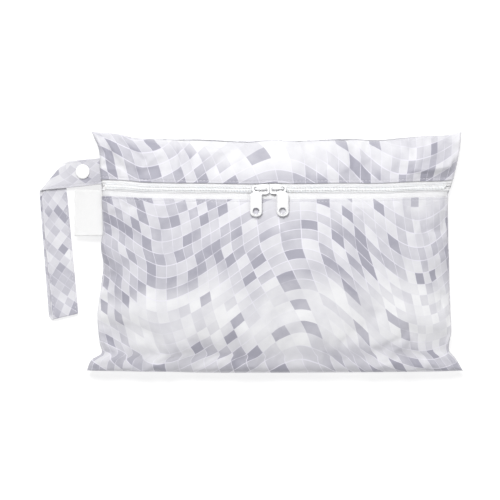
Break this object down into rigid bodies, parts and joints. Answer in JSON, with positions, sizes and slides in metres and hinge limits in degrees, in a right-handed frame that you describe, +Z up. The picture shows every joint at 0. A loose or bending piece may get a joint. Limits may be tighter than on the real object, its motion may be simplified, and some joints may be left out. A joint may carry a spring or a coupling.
{
  "type": "zipped cloth wet bag",
  "caption": "Soft zipped cloth pouch with a two-way zipper, pull tabs, a folded strap loop with a snap, and a side label.",
  "frame": {"origin": "centre of the back, on the surface the bag lies on", "axes": "+X along the zipper to the right, +Y towards the zipped top edge, +Z up off the surface"},
  "size_m": [0.3623, 0.2048, 0.0367],
  "materials": {
    "print_fabric": "smooth coated knit, printed tile pattern",
    "zipper_tape": "woven",
    "zipper_coil": "satin",
    "slider_enamel": "gloss",
    "snap_resin": "gloss",
    "label_satin": "satin weave"
  },
  "bodies": {
    "pouch": {"back_panel": "print_fabric", "front_lower_panel": "print_fabric", "front_upper_panel": "print_fabric", "strap": "print_fabric", "zipper_tape_lower": "zipper_tape", "zipper_tape_upper": "zipper_tape", "zipper_coil_left": "zipper_coil", "zipper_coil_right": "zipper_coil", "slider_left": "slider_enamel", "slider_right": "slider_enamel", "snap_cap": "snap_resin", "snap_clasp": "snap_resin", "side_label": "label_satin"},
    "left_pull": {"pull_left": "slider_enamel"},
    "right_pull": {"pull_right": "slider_enamel"}
  },
  "joints": [
    {"name": "pull_left_swivel", "type": "hinge", "parent": "pouch", "child": "left_pull", "pos_m": [-0.01625, 0.05496, 0.02935], "axis": [0, -0.1416, -0.9899], "range_deg": [0, 180]},
    {"name": "pull_right_swivel", "type": "hinge", "parent": "pouch", "child": "right_pull", "pos_m": [0.00605, 0.05522, 0.02938], "axis": [0, 0.1405, 0.9901], "range_deg": [0, 180]}
  ]
}
